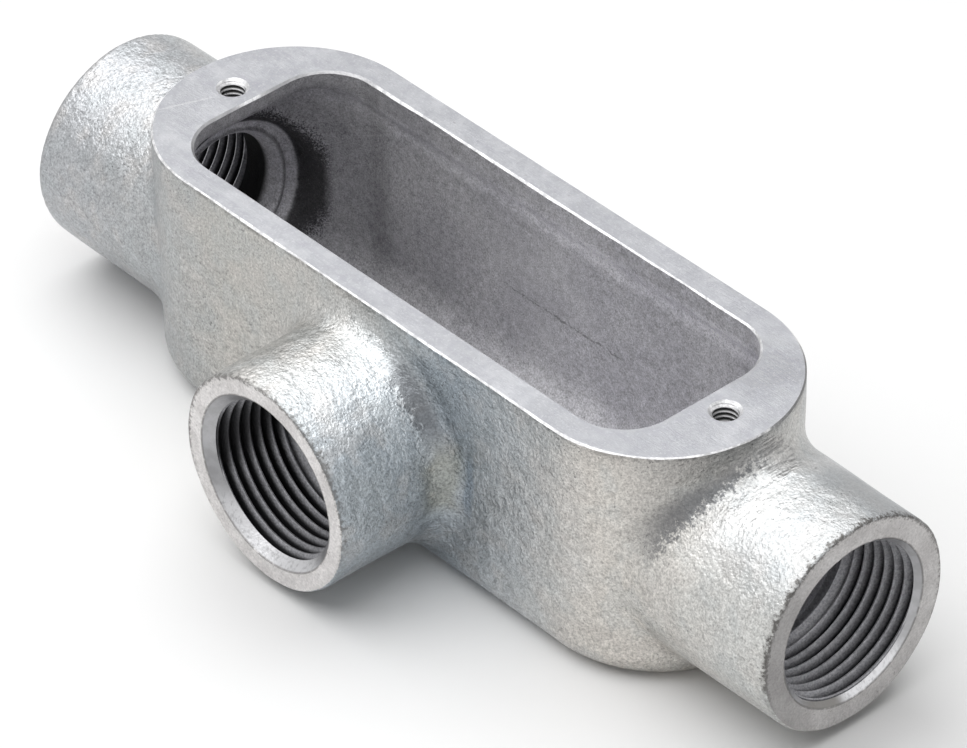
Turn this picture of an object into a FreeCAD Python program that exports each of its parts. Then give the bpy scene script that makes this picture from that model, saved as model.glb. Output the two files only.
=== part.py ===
import FreeCAD, Part
import math
import os

import Sketcher

NODE = "conduit_body"
FULL_TURN = 360
QUARTER_TURN = math.pi / 2
# Two places nearer than this are the same.
NEAR = 0.01

# Driving sizes in millimetres, angles in degrees.
SIZES = (
    ("body_length", "114.2", "length of the cover face over its round ends"),
    ("side_margin", "2.85", "side wall of the body beyond the root of a hub"),
    ("cover_margin", "4.9", "cover face above the root of a hub"),
    ("base_margin", "1.37", "root of a hub above the base"),
    ("draft", "0.6", "draft of the outer walls and of the hubs"),
    ("base_round", "4.6", "radius of the edge round the base"),
    ("bore_radius", "11.8", "radius of the threaded bore at the crests"),
    ("hub_wall", "4.42", "wall of a hub at its mouth"),
    ("run_reach", "17.86", "end of the body to the mouth of a run hub"),
    ("side_reach", "18.42", "side of the body to the mouth of the side hub"),
    ("hub_blend", "3.8", "radius of the blend between a hub and the body"),
    ("hub_chamfer", "0.5", "chamfer round the outside of a hub's mouth"),
    ("thread_length", "15", "mouth of a hub to the shoulder that stops the pipe"),
    ("mouth_chamfer", "1.3", "chamfer at the mouth of the thread"),
    ("stop_step", "1.9", "step from the thread in to the throat"),
    ("nose_wall", "2.97", "wall of a hub round its inner mouth"),
    ("ring_setback", "0.2", "chamber wall to the face of the bushing ring"),
    ("side_wall", "3.6", "side wall of the chamber under the flange"),
    ("end_wall", "5", "end wall of the chamber under the flange"),
    ("end_flat", "3.15", "half of the flat at the end of the chamber"),
    ("floor_wall", "3.6", "thickness under the chamber"),
    ("floor_round", "6", "radius between the floor and walls of the chamber"),
    ("flange", "3.65", "thickness of the flange round the opening"),
    ("side_rim", "4.41", "width of the flange along the sides"),
    ("end_land", "11.06", "width of the flange at the ends"),
    ("opening_corner", "7.9", "corner radius of the opening"),
    ("opening_chamfer", "0.5", "chamfer round the opening"),
    ("lip_chamfer", "0.4", "chamfer round the lower edge of the opening"),
    ("screw_edge", "6.9", "end of the body to a cover screw"),
    ("screw_radius", "1.75", "radius of a cover screw's tapped hole"),
    ("screw_chamfer", "0.45", "chamfer at the mouth of a tapped hole"),
)

# Sizes that follow from the driving ones.
HUB_MOUTH = "(Sizes.bore_radius + Sizes.hub_wall)"
HUB_ROOT = f"({HUB_MOUTH} + Sizes.run_reach * tan(Sizes.draft))"
AXIS_HEIGHT = f"({HUB_ROOT} + Sizes.base_margin)"
HEIGHT = f"({AXIS_HEIGHT} + {HUB_ROOT} + Sizes.cover_margin)"
HALF_LENGTH = "(Sizes.body_length / 2)"
HALF_WIDTH = f"({HUB_ROOT} + Sizes.side_margin)"
CHAMBER_LENGTH = f"({HALF_LENGTH} - Sizes.end_wall)"
CHAMBER_WIDTH = f"({HALF_WIDTH} - Sizes.side_wall)"
CHAMBER_CORNER = f"({CHAMBER_WIDTH} - Sizes.end_flat)"
OPENING_LENGTH = f"({HALF_LENGTH} - Sizes.end_land)"
OPENING_WIDTH = f"({HALF_WIDTH} - Sizes.side_rim)"
SCREW_PLACE = f"({HALF_LENGTH} - Sizes.screw_edge)"
THROAT = "(Sizes.bore_radius - Sizes.stop_step)"
NOSE = f"({HUB_MOUTH} - Sizes.nose_wall)"
RUN_FACE = f"({HALF_LENGTH} + Sizes.run_reach)"
SIDE_FACE = f"({HALF_WIDTH} + Sizes.side_reach)"

# Each hub: its heading in degrees, its face and the chamber wall it opens through.
HUBS = {
    "Right": (0, RUN_FACE, CHAMBER_LENGTH),
    "Left": (180, RUN_FACE, CHAMBER_LENGTH),
    "Side": (270, SIDE_FACE, CHAMBER_WIDTH),
}


def make_sizes(doc):
    """Write the driving sizes in a sheet, one named cell each."""
    sheet = doc.addObject("Spreadsheet::Sheet", "Sizes")
    for row, (alias, number, meaning) in enumerate(SIZES, 1):
        sheet.set(f"A{row}", alias)
        sheet.set(f"B{row}", number)
        sheet.setAlias(f"B{row}", alias)
        sheet.set(f"C{row}", meaning)
    doc.recompute()
    return sheet


def number_of(sheet, expression):
    """Work out an expression on the sheet as a plain number."""
    return float(sheet.evalExpression(expression))


def origin_plane(body, role):
    """Find one of the body's own origin planes."""
    return next(item for item in body.Origin.OriginFeatures if item.Role == role)


def new_sketch(body, name, role, heading=0):
    """Start a sketch on an origin plane, turned about the plane's upright axis."""
    sketch = body.newObject("Sketcher::SketchObject", name)
    sketch.AttachmentSupport = [(origin_plane(body, role), "")]
    sketch.MapMode = "FlatFace"
    turn = FreeCAD.Rotation(FreeCAD.Vector(0, 1, 0), heading)
    sketch.AttachmentOffset = FreeCAD.Placement(FreeCAD.Vector(), turn)
    return sketch


def hold(sketch, geometry, vertex, across, up):
    """Hold a point of the sketch at expressions measured from the origin."""
    for kind, expression, axis in (("DistanceX", across, -2), ("DistanceY", up, -1)):
        if expression is None:
            sketch.addConstraint(Sketcher.Constraint("PointOnObject", geometry, vertex, axis))
            continue
        size = number_of(sketch.Document.Sizes, expression)
        constraint = Sketcher.Constraint(kind, -1, 1, geometry, vertex, size)
        index = sketch.addConstraint(constraint)
        sketch.setExpression(f"Constraints[{index}]", expression)


def draw_profile(sketch, corners, arcs=()):
    """Draw a closed profile of lines through held corners.

    A corner is a pair of expressions, None standing for a point on the axis.
    A line whose number is in arcs becomes a quarter arc, tangent to the line before it.
    """
    sheet = sketch.Document.Sizes
    points = []
    for across, up in corners:
        x = number_of(sheet, across) if across else 0
        y = number_of(sheet, up) if up else 0
        points.append(FreeCAD.Vector(x, y, 0))
    count = len(points)
    for index, start in enumerate(points):
        end = points[(index + 1) % count]
        if index in arcs:
            centre = FreeCAD.Vector(start.x, end.y, 0)
            circle = Part.Circle(centre, FreeCAD.Vector(0, 0, 1), (start - centre).Length)
            first = circle.parameter(end)
            last = circle.parameter(start)
            sketch.addGeometry(Part.ArcOfCircle(circle, first, last))
        else:
            sketch.addGeometry(Part.LineSegment(start, end))
    for index in range(count):
        following = (index + 1) % count
        own_end = 1 if index in arcs else 2
        next_start = 2 if following in arcs else 1
        kind = "Tangent" if following in arcs else "Coincident"
        link = Sketcher.Constraint(kind, index, own_end, following, next_start)
        sketch.addConstraint(link)
    for index, (across, up) in enumerate(corners):
        hold(sketch, index, 2 if index in arcs else 1, across, up)


def draw_stadium(sketch, half_length, half_width):
    """Draw two straight sides joined by half circles, centred on the origin."""
    sheet = sketch.Document.Sizes
    radius = number_of(sheet, half_width)
    centre = number_of(sheet, half_length) - radius
    up = FreeCAD.Vector(0, 0, 1)
    right_circle = Part.Circle(FreeCAD.Vector(centre, 0, 0), up, radius)
    left_circle = Part.Circle(FreeCAD.Vector(-centre, 0, 0), up, radius)
    sketch.addGeometry(Part.ArcOfCircle(right_circle, -QUARTER_TURN, QUARTER_TURN))
    sketch.addGeometry(
        Part.LineSegment(FreeCAD.Vector(centre, radius, 0), FreeCAD.Vector(-centre, radius, 0))
    )
    sketch.addGeometry(Part.ArcOfCircle(left_circle, QUARTER_TURN, 3 * QUARTER_TURN))
    sketch.addGeometry(
        Part.LineSegment(FreeCAD.Vector(-centre, -radius, 0), FreeCAD.Vector(centre, -radius, 0))
    )
    for first, second in ((0, 1), (1, 2), (2, 3), (3, 0)):
        sketch.addConstraint(Sketcher.Constraint("Tangent", first, 2, second, 1))
    sketch.addConstraint(Sketcher.Constraint("Equal", 0, 2))
    sketch.addConstraint(Sketcher.Constraint("Symmetric", 0, 3, 2, 3, -1, 1))
    hold(sketch, 0, 3, f"{half_length} - {half_width}", None)
    index = sketch.addConstraint(Sketcher.Constraint("Radius", 0, radius))
    sketch.setExpression(f"Constraints[{index}]", half_width)


def draw_rounded(sketch, half_length, half_width, corner):
    """Draw a rectangle with round corners, centred on the origin."""
    sheet = sketch.Document.Sizes
    length = number_of(sheet, half_length)
    width = number_of(sheet, half_width)
    radius = number_of(sheet, corner)
    across = length - radius
    along = width - radius
    up = FreeCAD.Vector(0, 0, 1)
    centres = ((across, along), (-across, along), (-across, -along), (across, -along))
    for turn, (x, y) in enumerate(centres):
        circle = Part.Circle(FreeCAD.Vector(x, y, 0), up, radius)
        arc = Part.ArcOfCircle(circle, turn * QUARTER_TURN, (turn + 1) * QUARTER_TURN)
        sketch.addGeometry(arc)
    for turn in range(4):
        start = sketch.Geometry[turn].EndPoint
        end = sketch.Geometry[(turn + 1) % 4].StartPoint
        sketch.addGeometry(Part.LineSegment(start, end))
    for turn in range(4):
        line = 4 + turn
        sketch.addConstraint(Sketcher.Constraint("Tangent", turn, 2, line, 1))
        sketch.addConstraint(Sketcher.Constraint("Tangent", line, 2, (turn + 1) % 4, 1))
    sketch.addConstraint(Sketcher.Constraint("Horizontal", 4))
    sketch.addConstraint(Sketcher.Constraint("Vertical", 5))
    sketch.addConstraint(Sketcher.Constraint("Equal", 0, 1))
    sketch.addConstraint(Sketcher.Constraint("Equal", 0, 2))
    sketch.addConstraint(Sketcher.Constraint("Equal", 0, 3))
    sketch.addConstraint(Sketcher.Constraint("Symmetric", 0, 3, 2, 3, -1, 1))
    hold(sketch, 0, 3, f"{half_length} - {corner}", f"{half_width} - {corner}")
    index = sketch.addConstraint(Sketcher.Constraint("Radius", 0, radius))
    sketch.setExpression(f"Constraints[{index}]", corner)


def add_body_block(body):
    """Pad the outer form down from the cover face, narrower towards the base."""
    sketch = new_sketch(body, "CoverOutline", "XY_Plane")
    sketch.setExpression("AttachmentOffset.Base.z", HEIGHT)
    draw_stadium(sketch, HALF_LENGTH, HALF_WIDTH)
    pad = body.newObject("PartDesign::Pad", "BodyBlock")
    pad.Profile = sketch
    pad.Reversed = True
    pad.setExpression("Length", HEIGHT)
    pad.setExpression("TaperAngle", "-Sizes.draft")
    return pad


def add_hub(body, name, heading, face):
    """Turn a solid hub about its own axis, thicker towards its root."""
    sketch = new_sketch(body, f"{name}HubProfile", "XZ_Plane", heading)
    sketch.setExpression("AttachmentOffset.Base.y", AXIS_HEIGHT)
    root = f"{HUB_MOUTH} + {face} * tan(Sizes.draft)"
    draw_profile(sketch, ((None, None), (face, None), (face, HUB_MOUTH), (None, root)))
    hub = body.newObject("PartDesign::Revolution", f"{name}Hub")
    hub.Profile = sketch
    hub.ReferenceAxis = (sketch, ["H_Axis"])
    hub.Angle = FULL_TURN
    return hub


def cut_hub(body, name, heading, face, wall):
    """Groove a hub's thread bore, stop shoulder, throat and bell-shaped inner mouth."""
    sketch = new_sketch(body, f"{name}BoreProfile", "XZ_Plane", heading)
    sketch.setExpression("AttachmentOffset.Base.y", AXIS_HEIGHT)
    inside = f"({wall} - {CHAMBER_CORNER})"
    ring = f"({wall} + Sizes.ring_setback)"
    stop = f"({face} - Sizes.thread_length)"
    corners = (
        (inside, None),
        (face, None),
        (face, "Sizes.bore_radius + Sizes.mouth_chamfer"),
        (f"{face} - Sizes.mouth_chamfer", "Sizes.bore_radius"),
        (stop, "Sizes.bore_radius"),
        (stop, THROAT),
        (f"{ring} + {NOSE} - {THROAT}", THROAT),
        (ring, NOSE),
        (inside, NOSE),
    )
    draw_profile(sketch, corners, arcs=(6,))
    groove = body.newObject("PartDesign::Groove", f"{name}Bore")
    groove.Profile = sketch
    groove.ReferenceAxis = (sketch, ["H_Axis"])
    groove.Angle = FULL_TURN
    return groove


def cut_pocket(body, name, depth_below_cover, depth, draw):
    """Pocket an outline straight down from a level below the cover face."""
    sketch = new_sketch(body, f"{name}Outline", "XY_Plane")
    sketch.setExpression("AttachmentOffset.Base.z", f"{HEIGHT} - {depth_below_cover}")
    draw(sketch)
    pocket = body.newObject("PartDesign::Pocket", name)
    pocket.Profile = sketch
    pocket.setExpression("Length", depth)
    return pocket


def draw_opening(sketch):
    draw_rounded(sketch, OPENING_LENGTH, OPENING_WIDTH, "Sizes.opening_corner")


def draw_chamber(sketch):
    draw_rounded(sketch, CHAMBER_LENGTH, CHAMBER_WIDTH, CHAMBER_CORNER)


def draw_screw_holes(sketch):
    """Draw the two tapped holes on the centre line of the cover face."""
    radius = number_of(sketch.Document.Sizes, "Sizes.screw_radius")
    place = number_of(sketch.Document.Sizes, SCREW_PLACE)
    up = FreeCAD.Vector(0, 0, 1)
    for x in (place, -place):
        sketch.addGeometry(Part.Circle(FreeCAD.Vector(x, 0, 0), up, radius))
    sketch.addConstraint(Sketcher.Constraint("Equal", 0, 1))
    sketch.addConstraint(Sketcher.Constraint("Symmetric", 0, 3, 1, 3, -1, 1))
    hold(sketch, 0, 3, SCREW_PLACE, None)
    index = sketch.addConstraint(Sketcher.Constraint("Radius", 0, radius))
    sketch.setExpression(f"Constraints[{index}]", "Sizes.screw_radius")


def is_level(edge, height):
    """Tell whether an edge lies wholly at one height."""
    box = edge.BoundBox
    return abs(box.ZMin - height) < NEAR and abs(box.ZMax - height) < NEAR


def is_circle(edge, radius):
    return isinstance(edge.Curve, Part.Circle) and abs(edge.Curve.Radius - radius) < NEAR


def is_hub_side(face):
    """Tell whether a face is the tapered outside of a hub."""
    return isinstance(face.Surface, Part.Cone) and abs(face.Surface.Axis.z) < NEAR


def is_hub_root(shape, edge, mouth_radius):
    """Tell whether an edge lies between a hub's outside and the body."""
    sides = [is_hub_side(face) for face in shape.ancestorsOfType(edge, Part.Face)]
    return sorted(sides) == [False, True] and not is_circle(edge, mouth_radius)


def is_opening_edge(edge, height, half_length, half_width):
    """Tell whether an edge lies on the opening's outline at one height."""
    box = edge.BoundBox
    inside = box.XMax < half_length + NEAR and box.XMin > -half_length - NEAR
    between = box.YMax < half_width + NEAR and box.YMin > -half_width - NEAR
    return is_level(edge, height) and inside and between


def dress(body, kind, name, size_name, expression, wanted):
    """Round or chamfer the edges of the body's last feature that pass a test."""
    body.Document.recompute()
    base = body.Tip
    shape = base.Shape
    chosen = [f"Edge{number}" for number, edge in enumerate(shape.Edges, 1) if wanted(shape, edge)]
    feature = body.newObject(kind, name)
    feature.Base = (base, chosen)
    feature.setExpression(size_name, expression)
    body.Document.recompute()
    return feature


def make_casting(doc, sheet):
    """Build the casting: outer form, chamber, hubs' bores and screw holes."""
    body = doc.addObject("PartDesign::Body", "Casting")
    body.Label = NODE
    mouth_radius = number_of(sheet, HUB_MOUTH)
    height = number_of(sheet, HEIGHT)
    half_length = number_of(sheet, OPENING_LENGTH)
    half_width = number_of(sheet, OPENING_WIDTH)
    floor = number_of(sheet, "Sizes.floor_wall")
    under_flange = height - number_of(sheet, "Sizes.flange")
    screw_radius = number_of(sheet, "Sizes.screw_radius")

    add_body_block(body)
    dress(body, "PartDesign::Fillet", "BaseRound", "Radius", "Sizes.base_round",
          lambda shape, edge: is_level(edge, 0))
    for name, (heading, face, wall) in HUBS.items():
        add_hub(body, name, heading, face)
    dress(body, "PartDesign::Fillet", "HubBlends", "Radius", "Sizes.hub_blend",
          lambda shape, edge: is_hub_root(shape, edge, mouth_radius))
    dress(body, "PartDesign::Chamfer", "HubChamfers", "Size", "Sizes.hub_chamfer",
          lambda shape, edge: is_circle(edge, mouth_radius))
    cut_pocket(body, "Opening", "0", "Sizes.flange", draw_opening)
    cut_pocket(body, "Chamber", "Sizes.flange", f"{HEIGHT} - Sizes.flange - Sizes.floor_wall",
               draw_chamber)
    dress(body, "PartDesign::Fillet", "FloorRound", "Radius", "Sizes.floor_round",
          lambda shape, edge: is_level(edge, floor))
    dress(body, "PartDesign::Chamfer", "LipChamfer", "Size", "Sizes.lip_chamfer",
          lambda shape, edge: is_opening_edge(edge, under_flange, half_length, half_width))
    dress(body, "PartDesign::Chamfer", "OpeningChamfer", "Size", "Sizes.opening_chamfer",
          lambda shape, edge: is_opening_edge(edge, height, half_length, half_width))
    for name, (heading, face, wall) in HUBS.items():
        cut_hub(body, name, heading, face, wall)
    cut_pocket(body, "ScrewHoles", "0", "Sizes.flange + Sizes.screw_radius", draw_screw_holes)
    dress(body, "PartDesign::Chamfer", "ScrewChamfers", "Size", "Sizes.screw_chamfer",
          lambda shape, edge: is_circle(edge, screw_radius) and is_level(edge, height))
    return body


def check(doc, body):
    """Stop with a message if a feature failed or the casting isn't one good solid."""
    for item in doc.Objects:
        if "Invalid" in item.State or "Error" in item.State:
            raise RuntimeError(f"{item.Name} failed: {item.State}")
    shape = body.Shape
    if shape.isNull() or not shape.isValid() or len(shape.Solids) != 1:
        raise RuntimeError(f"{body.Label} isn't one valid solid")


def main():
    os.makedirs("parts", exist_ok=True)
    doc = FreeCAD.newDocument("ConduitBody")
    sheet = make_sizes(doc)
    body = make_casting(doc, sheet)
    doc.recompute()
    check(doc, body)
    body.Shape.exportStep(f"parts/{NODE}.step")


main()
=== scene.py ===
import itertools
import math

import bmesh
import bpy
import numpy as np
from mathutils import Matrix, Vector


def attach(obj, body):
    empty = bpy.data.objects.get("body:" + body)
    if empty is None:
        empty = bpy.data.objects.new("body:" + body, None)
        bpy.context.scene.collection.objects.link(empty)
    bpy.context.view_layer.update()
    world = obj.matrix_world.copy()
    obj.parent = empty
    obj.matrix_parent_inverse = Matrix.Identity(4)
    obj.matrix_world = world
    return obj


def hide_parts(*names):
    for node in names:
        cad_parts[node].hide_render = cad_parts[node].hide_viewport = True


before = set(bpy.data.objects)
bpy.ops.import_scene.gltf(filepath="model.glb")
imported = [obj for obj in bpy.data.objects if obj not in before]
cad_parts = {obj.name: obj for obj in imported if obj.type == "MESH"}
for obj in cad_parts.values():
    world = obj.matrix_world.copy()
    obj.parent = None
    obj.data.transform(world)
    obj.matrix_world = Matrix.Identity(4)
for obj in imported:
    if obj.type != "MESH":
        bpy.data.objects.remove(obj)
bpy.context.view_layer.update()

MM = 0.001

# Sizes of the casting in millimetres, angles in degrees.
BODY_LENGTH = 114.2
SIDE_MARGIN = 2.85
COVER_MARGIN = 4.9
BASE_MARGIN = 1.37
DRAFT = math.tan(math.radians(0.6))
BASE_ROUND = 4.6
BORE_RADIUS = 11.8
HUB_WALL = 4.42
RUN_REACH = 17.86
SIDE_REACH = 18.42
HUB_BLEND = 3.8
THREAD_LENGTH = 15
STOP_STEP = 1.9
NOSE_WALL = 2.97
RING_SETBACK = 0.2
SIDE_WALL = 3.6
END_WALL = 5
END_FLAT = 3.15
FLOOR_WALL = 3.6
FLOOR_ROUND = 6
FLANGE = 3.65
SIDE_RIM = 4.41
END_LAND = 11.06
OPENING_CORNER = 7.9
OPENING_CHAMFER = 0.3
SCREW_EDGE = 6.9
SCREW_RADIUS = 1.75
SCREW_CHAMFER = 0.6
# Sizes of the casting's softer edges, which the machining doesn't reach.
CEILING_ROUND = 2.4
LIP_ROUND = 2
NOSE_ROUND = 1.6
MOUTH_ROUND = 0.9
RIM_BREAK = 0.22
# The groove in each bushing ring's bell: its place from the ring's face and from the throat, its radius and
# the radius of its edges.
GROOVE_PLACE = (0.55, 2.1)
GROOVE_RADIUS = 0.62
GROOVE_ROUND = 0.4
# Metal left on the raw casting for the machining to take off.
STOCK = 0.8
# The unevenness of the raw casting: the height and the width of its humps.
RIPPLES = ((0.045, 11), (0.022, 4.5), (0.014, 2.2))

# Sizes that follow from those above.
HUB_MOUTH = BORE_RADIUS + HUB_WALL
HUB_ROOT = HUB_MOUTH + RUN_REACH * DRAFT
AXIS_HEIGHT = HUB_ROOT + BASE_MARGIN
HEIGHT = AXIS_HEIGHT + HUB_ROOT + COVER_MARGIN
HALF_LENGTH = BODY_LENGTH / 2
HALF_WIDTH = HUB_ROOT + SIDE_MARGIN
CHAMBER_LENGTH = HALF_LENGTH - END_WALL
CHAMBER_WIDTH = HALF_WIDTH - SIDE_WALL
CHAMBER_CORNER = CHAMBER_WIDTH - END_FLAT
OPENING_LENGTH = HALF_LENGTH - END_LAND
OPENING_WIDTH = HALF_WIDTH - SIDE_RIM
SCREW_PLACE = HALF_LENGTH - SCREW_EDGE
THROAT = BORE_RADIUS - STOP_STEP
NOSE = HUB_MOUTH - NOSE_WALL
RUN_FACE = HALF_LENGTH + RUN_REACH
SIDE_FACE = HALF_WIDTH + SIDE_REACH

# Each hub: its heading in degrees, its face, the chamber wall it opens through and its mouth's chamfer.
HUBS = (
    (0, RUN_FACE, CHAMBER_LENGTH, 0.9),
    (180, RUN_FACE, CHAMBER_LENGTH, 1.3),
    (270, SIDE_FACE, CHAMBER_WIDTH, 1.5),
)

# The skin's tints from the left end of the casting, at 0, to its right end, at 1.
SKIN_TINTS = (
    (0.05, (0.4, 0.41, 0.425)),
    (0.18, (0.39, 0.4, 0.405)),
    (0.31, (0.455, 0.445, 0.42)),
    (0.47, (0.49, 0.49, 0.48)),
    # Painted shade: this darker bluish stop lies at the right of the side hub.
    (0.61, (0.42, 0.46, 0.495)),
    (0.68, (0.54, 0.56, 0.575)),
    (0.8, (0.59, 0.565, 0.53)),
    (0.95, (0.58, 0.58, 0.565)),
)

# How strongly the skin darkens at the edge of each hub's face, partly as painted shade.
FRINGE_STRENGTHS = (0.92, 0.25, 0.75)

# Depths in millimetres where the painted shade in each hub's thread roots starts and is black; it differs by
# hub with how the light falls.
ROOT_PAINTED_SHADE = ((0.8, 1.3), (0.2, 0.8), (0.3, 0.9))

# Threads: pitch, radius at the crests and at the roots, taper as a share of the length. The tap rises out of
# the mouth and fades in over the lead at its far end, and a cylinder of the limit's radius ends it there.
PIPE_THREAD = {"pitch": 1.8143, "crest": 11.83, "root": 13.2, "taper": 1 / 32,
               "rise": 2, "lead": 3, "limit": 15}
SCREW_THREAD = {"pitch": 0.79375, "crest": 1.75, "root": 2.1, "taper": 0,
                "rise": 1, "lead": 0.5, "limit": 3}

# Where a thread ends in a hub's mouth, above the chamfer's bottom, and how far it takes to fade out.
FADE_END = 0.4
FADE = 1.2

# The grid that the raw casting is worked out on, and how many triangles its mesh is thinned to.
STEP = 0.5
SKIN_TRIANGLES = 120000

# Two places in the mesh nearer than SLIVER become one, and a face nearer than NEAR to a surface lies on it.
SLIVER = 0.001
NEAR = 0.03

# The facing tools: how far they reach past the casting, and how thick the cover's and a hub's are. The edge
# tools run on past their cuts by PAST.
CLEAR = 5
COVER_TOOL = 10
HUB_TOOL = 9
PAST = 1

# Edges sharper than this, in degrees, aren't smoothed.
SHARP = 35


# The raw casting, as a field of distances to its surface, negative in the metal.

def make_grid():
    """Return the coordinates of a grid round the raw casting."""
    room = STOCK + 2 * STEP
    spans = (
        (-RUN_FACE - room, RUN_FACE + room),
        (-SIDE_FACE - room, HALF_WIDTH + room),
        (-room, HEIGHT + room),
    )
    x, y, z = (np.arange(low, high, STEP, dtype=np.float32) for low, high in spans)
    return x[:, None, None], y[None, :, None], z[None, None, :]


def fillet(first, second, radius, slant=None):
    """Join two solids with a fillet in the corner between them.

    Slant is the cosine between their surfaces, worked out from the fields if it isn't given.
    """
    if slant is None:
        first, second = np.broadcast_arrays(first, second)
        slopes = zip(np.gradient(first, STEP), np.gradient(second, STEP))
        slant = np.clip(sum(one * two for one, two in slopes), -0.95, 0.95)
    one = radius - first
    two = radius - second
    in_corner = (one > slant * two) & (two > slant * one)
    reach = np.sqrt(np.maximum(one * one + two * two - 2 * slant * one * two, 0) / (1 - slant * slant))
    return np.where(in_corner, radius - reach, np.minimum(first, second))


def round_edge(first, second, radius, slant=None):
    """Keep what two solids share, with the edge between them rounded."""
    return -fillet(-first, -second, radius, slant)


def rounded_outline(x, y, half_length, half_width, corner):
    """Distance to a rectangle with round corners."""
    across = np.abs(x) - (half_length - corner)
    along = np.abs(y) - (half_width - corner)
    outside = np.hypot(np.maximum(across, 0), np.maximum(along, 0))
    return outside + np.minimum(np.maximum(across, along), 0) - corner


def hub_coordinates(x, y, z, heading, length=np.hypot):
    """Return the distance along a hub's axis and the distance from it."""
    angle = math.radians(heading)
    along = x * math.cos(angle) + y * math.sin(angle)
    aside = y * math.cos(angle) - x * math.sin(angle)
    return along, length(aside, z - AXIS_HEIGHT)


def outer_form(x, y, z):
    """The body with its three hubs, before the chamber is cored out."""
    narrowing = (HEIGHT - z) * DRAFT
    sides = rounded_outline(x, y, HALF_LENGTH, HALF_WIDTH, HALF_WIDTH) + narrowing
    body = round_edge(sides, -z, BASE_ROUND, 0)
    body = np.maximum(body, z - HEIGHT - STOCK)
    for heading, face, _, _ in HUBS:
        along, away = hub_coordinates(x, y, z, heading)
        barrel = away - HUB_MOUTH - (face - along) * DRAFT
        hub = round_edge(barrel, along - face - MOUTH_ROUND / 3, MOUTH_ROUND, 0)
        body = fillet(body, np.maximum(hub, -along), HUB_BLEND)
    return body


def core(x, y, z):
    """The chamber, its opening and the way out through each hub."""
    ceiling = HEIGHT - FLANGE
    walls = rounded_outline(x, y, CHAMBER_LENGTH, CHAMBER_WIDTH, CHAMBER_CORNER)
    chamber = round_edge(walls, FLOOR_WALL - z, FLOOR_ROUND, 0)
    chamber = round_edge(chamber, z - ceiling, CEILING_ROUND, 0)
    opening = rounded_outline(x, y, OPENING_LENGTH, OPENING_WIDTH, OPENING_CORNER)
    hollow = fillet(chamber, np.maximum(opening, ceiling - 2 * LIP_ROUND - z), LIP_ROUND)
    for heading, _, wall, _ in HUBS:
        along, away = hub_coordinates(x, y, z, heading)
        ring = wall + RING_SETBACK
        bell = fillet(along - ring, away - THROAT, NOSE - THROAT, 0)
        forward, outward = GROOVE_PLACE
        groove = np.hypot(along - ring - forward, away - THROAT - outward) - GROOVE_RADIUS
        bell = fillet(bell, groove, GROOVE_ROUND, 0)
        passage = np.maximum(np.maximum(bell, away - NOSE), wall - CHAMBER_CORNER - along)
        hollow = fillet(hollow, passage, NOSE_ROUND)
    return hollow


def ripple(shape, spacing, random):
    """Return smooth random values of unit spread, with humps about a spacing wide."""
    cells = spacing / STEP
    field = random.standard_normal([int(count / cells) + 5 for count in shape]).astype(np.float32)
    for axis, count in enumerate(shape):
        place = np.arange(count) / cells + 1
        whole = place.astype(int)
        part = (place - whole).astype(np.float32)
        shares = (
            (1 - part) ** 3 / 6,
            (3 * part ** 3 - 6 * part ** 2 + 4) / 6,
            (3 * (1 - part) ** 3 - 6 * (1 - part) ** 2 + 4) / 6,
            part ** 3 / 6,
        )
        field = np.moveaxis(field, axis, 0)
        field = sum(share[:, None, None] * field[whole + step - 1]
                    for step, share in enumerate(shares))
        field = np.moveaxis(field, 0, axis)
    return field / field.std()


def surface_net(field, origin):
    """Return the points and squares of the surface where the field is nought."""
    solid = field < 0
    spans = [count - 1 for count in field.shape]
    corners = [np.array(corner) for corner in itertools.product((0, 1), repeat=3)]
    inside = np.zeros(spans, np.int8)
    for i, j, k in corners:
        inside += solid[i:i + spans[0], j:j + spans[1], k:k + spans[2]]
    crossed = (inside > 0) & (inside < 8)
    cells = np.argwhere(crossed)
    number = np.full(crossed.shape, -1, np.int32)
    number[crossed] = np.arange(len(cells))
    total = np.zeros((len(cells), 3))
    edges = np.zeros(len(cells))
    for corner in corners:
        start = field[tuple((cells + corner).T)]
        for axis in range(3):
            if corner[axis]:
                continue
            far = cells + corner
            far[:, axis] += 1
            end = field[tuple(far.T)]
            hit = (start < 0) != (end < 0)
            total[hit] += corner
            total[hit, axis] += start[hit] / (start[hit] - end[hit])
            edges[hit] += 1
    points = (cells + total / edges[:, None]) * STEP + origin
    squares = []
    for axis in range(3):
        steps = np.eye(3, dtype=int)
        one = steps[(axis + 1) % 3]
        two = steps[(axis + 2) % 3]
        ahead = np.roll(solid, -1, axis)
        change = np.argwhere((solid != ahead)[1:-1, 1:-1, 1:-1]) + 1
        ring = [number[tuple((change - away).T)] for away in (0 * one, one, one + two, two)]
        ring = np.stack(ring, axis=1)
        outward = solid[tuple(change.T)]
        squares.append(np.where(outward[:, None], ring, ring[:, ::-1]))
    return points, np.concatenate(squares)


def raw_casting():
    """Return the mesh of the casting as it leaves the mould."""
    x, y, z = make_grid()
    field = np.maximum(outer_form(x, y, z), -core(x, y, z))
    random = np.random.default_rng(5)
    for height, width in RIPPLES:
        field += height * ripple(field.shape, width, random)
    origin = np.array([x.min(), y.min(), z.min()])
    return surface_net(field, origin)


# Mesh helpers.

def new_piece(name, points, faces):
    """Make an object of a mesh given in millimetres, with faces of one size."""
    mesh = bpy.data.meshes.new(name)
    points = np.asarray(points, float) * MM
    faces = np.asarray(faces, np.int32)
    mesh.vertices.add(len(points))
    mesh.vertices.foreach_set("co", points.ravel())
    mesh.loops.add(faces.size)
    mesh.loops.foreach_set("vertex_index", faces.ravel())
    mesh.polygons.add(len(faces))
    mesh.polygons.foreach_set("loop_start", np.arange(len(faces)) * faces.shape[1])
    mesh.update(calc_edges=True)
    piece = bpy.data.objects.new(name, mesh)
    bpy.context.scene.collection.objects.link(piece)
    return piece


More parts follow.
